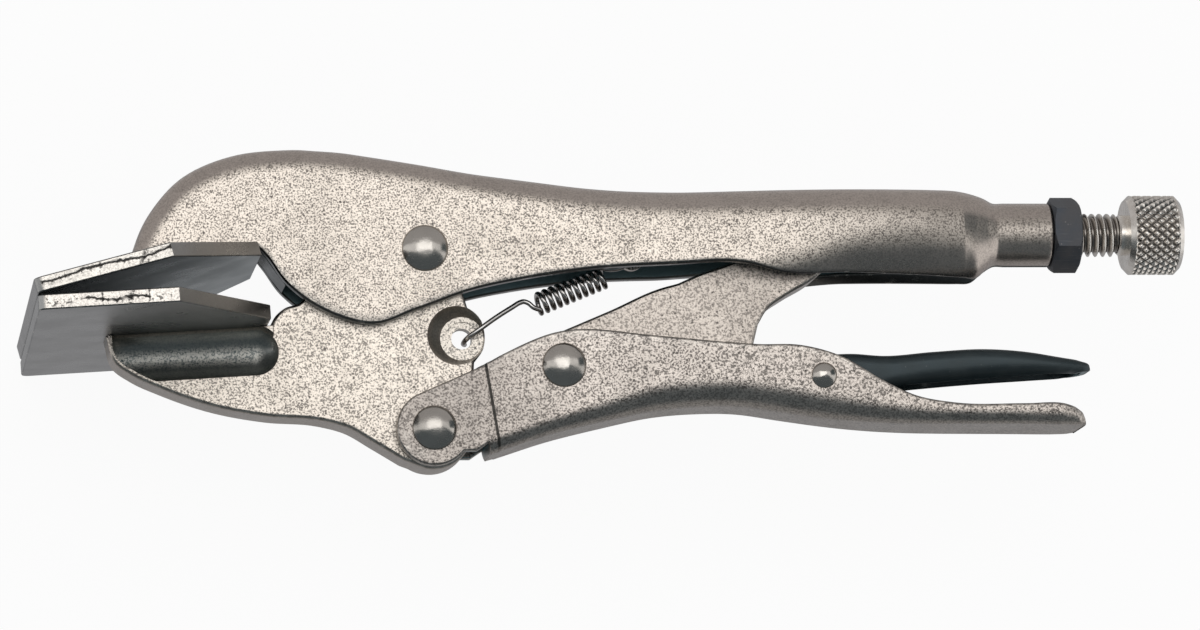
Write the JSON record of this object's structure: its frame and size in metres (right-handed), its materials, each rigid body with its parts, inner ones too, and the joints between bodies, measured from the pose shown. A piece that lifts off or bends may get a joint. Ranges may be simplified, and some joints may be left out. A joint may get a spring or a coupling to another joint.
{
  "type": "locking pliers",
  "caption": "Nickel-plated locking pliers with wide flat jaws for bending and clamping sheet metal, with a toggle linkage, a release lever, a return spring and a knurled adjusting screw.",
  "frame": {"origin": "centre of the closed tool's bounding box", "axes": "+X along the tool, from the jaws to the adjusting knob; +Y from the lower handle to the upper handle; +Z across the tool, along the width of the jaws"},
  "size_m": [0.2132, 0.0584, 0.08],
  "materials": {
    "nickel_plate": "satin nickel plate over a blasted surface",
    "bright_steel": "bright nickel plate",
    "black_finish": "black coating, semi-gloss",
    "blued_steel": "dark blued steel",
    "spring_steel": "dark drawn wire"
  },
  "bodies": {
    "upper_handle": {"upper_handle": "nickel_plate", "upper_jaw_block": "nickel_plate", "upper_blade": "nickel_plate", "spring_lug": "nickel_plate", "main_rivet": "bright_steel", "return_spring": "spring_steel"},
    "lower_jaw": {"lower_jaw": "nickel_plate", "lower_blade": "nickel_plate"},
    "lower_handle": {"lower_handle": "nickel_plate", "jaw_rivet": "bright_steel", "link_rivet": "bright_steel", "lever_rivet": "bright_steel"},
    "toggle_link": {"toggle_link": "nickel_plate"},
    "release_lever": {"release_lever": "black_finish"},
    "adjusting_screw": {"adjusting_screw": "bright_steel"},
    "adjusting_knob": {"adjusting_knob": "bright_steel"},
    "lock_nut": {"lock_nut": "blued_steel"}
  },
  "joints": [
    {"name": "jaw_open", "type": "hinge", "parent": "upper_handle", "child": "lower_jaw", "pos_m": [-0.0349, 0.01054, 0], "axis": [0, 0, 1], "range_deg": [0, 16], "deforming": ["return_spring"]},
    {"name": "handle_open", "type": "hinge", "parent": "lower_jaw", "child": "lower_handle", "pos_m": [-0.0337, -0.02206, 0], "axis": [0, 0, 1], "range_deg": [-55.8, 0]},
    {"name": "link_fold", "type": "hinge", "parent": "lower_handle", "child": "toggle_link", "pos_m": [-0.0102, -0.01096, 0], "axis": [0, 0, 1], "range_deg": [0, 58]},
    {"name": "release_press", "type": "hinge", "parent": "lower_handle", "child": "release_lever", "pos_m": [0.0371, -0.01306, 0], "axis": [0, 0, 1], "range_deg": [-6, 0]},
    {"name": "screw_feed", "type": "slide", "parent": "upper_handle", "child": "adjusting_screw", "axis": [1, 0, 0], "range_m": [0, 0.01129]},
    {"name": "knob_turn", "type": "hinge", "parent": "adjusting_screw", "child": "adjusting_knob", "pos_m": [0.1001, 0.01409, 0], "axis": [1, 0, 0], "range_deg": [0, 2880]},
    {"name": "nut_run", "type": "slide", "parent": "upper_handle", "child": "lock_nut", "axis": [1, 0, 0], "range_m": [0, 0.0065]}
  ],
  "couplings": [
    {"joint": "jaw_open", "follows": "handle_open", "ratio": -0.28674},
    {"joint": "link_fold", "follows": "handle_open", "ratio": -1.0394},
    {"joint": "knob_turn", "follows": "screw_feed", "rad_per_m": 4452.9}
  ]
}
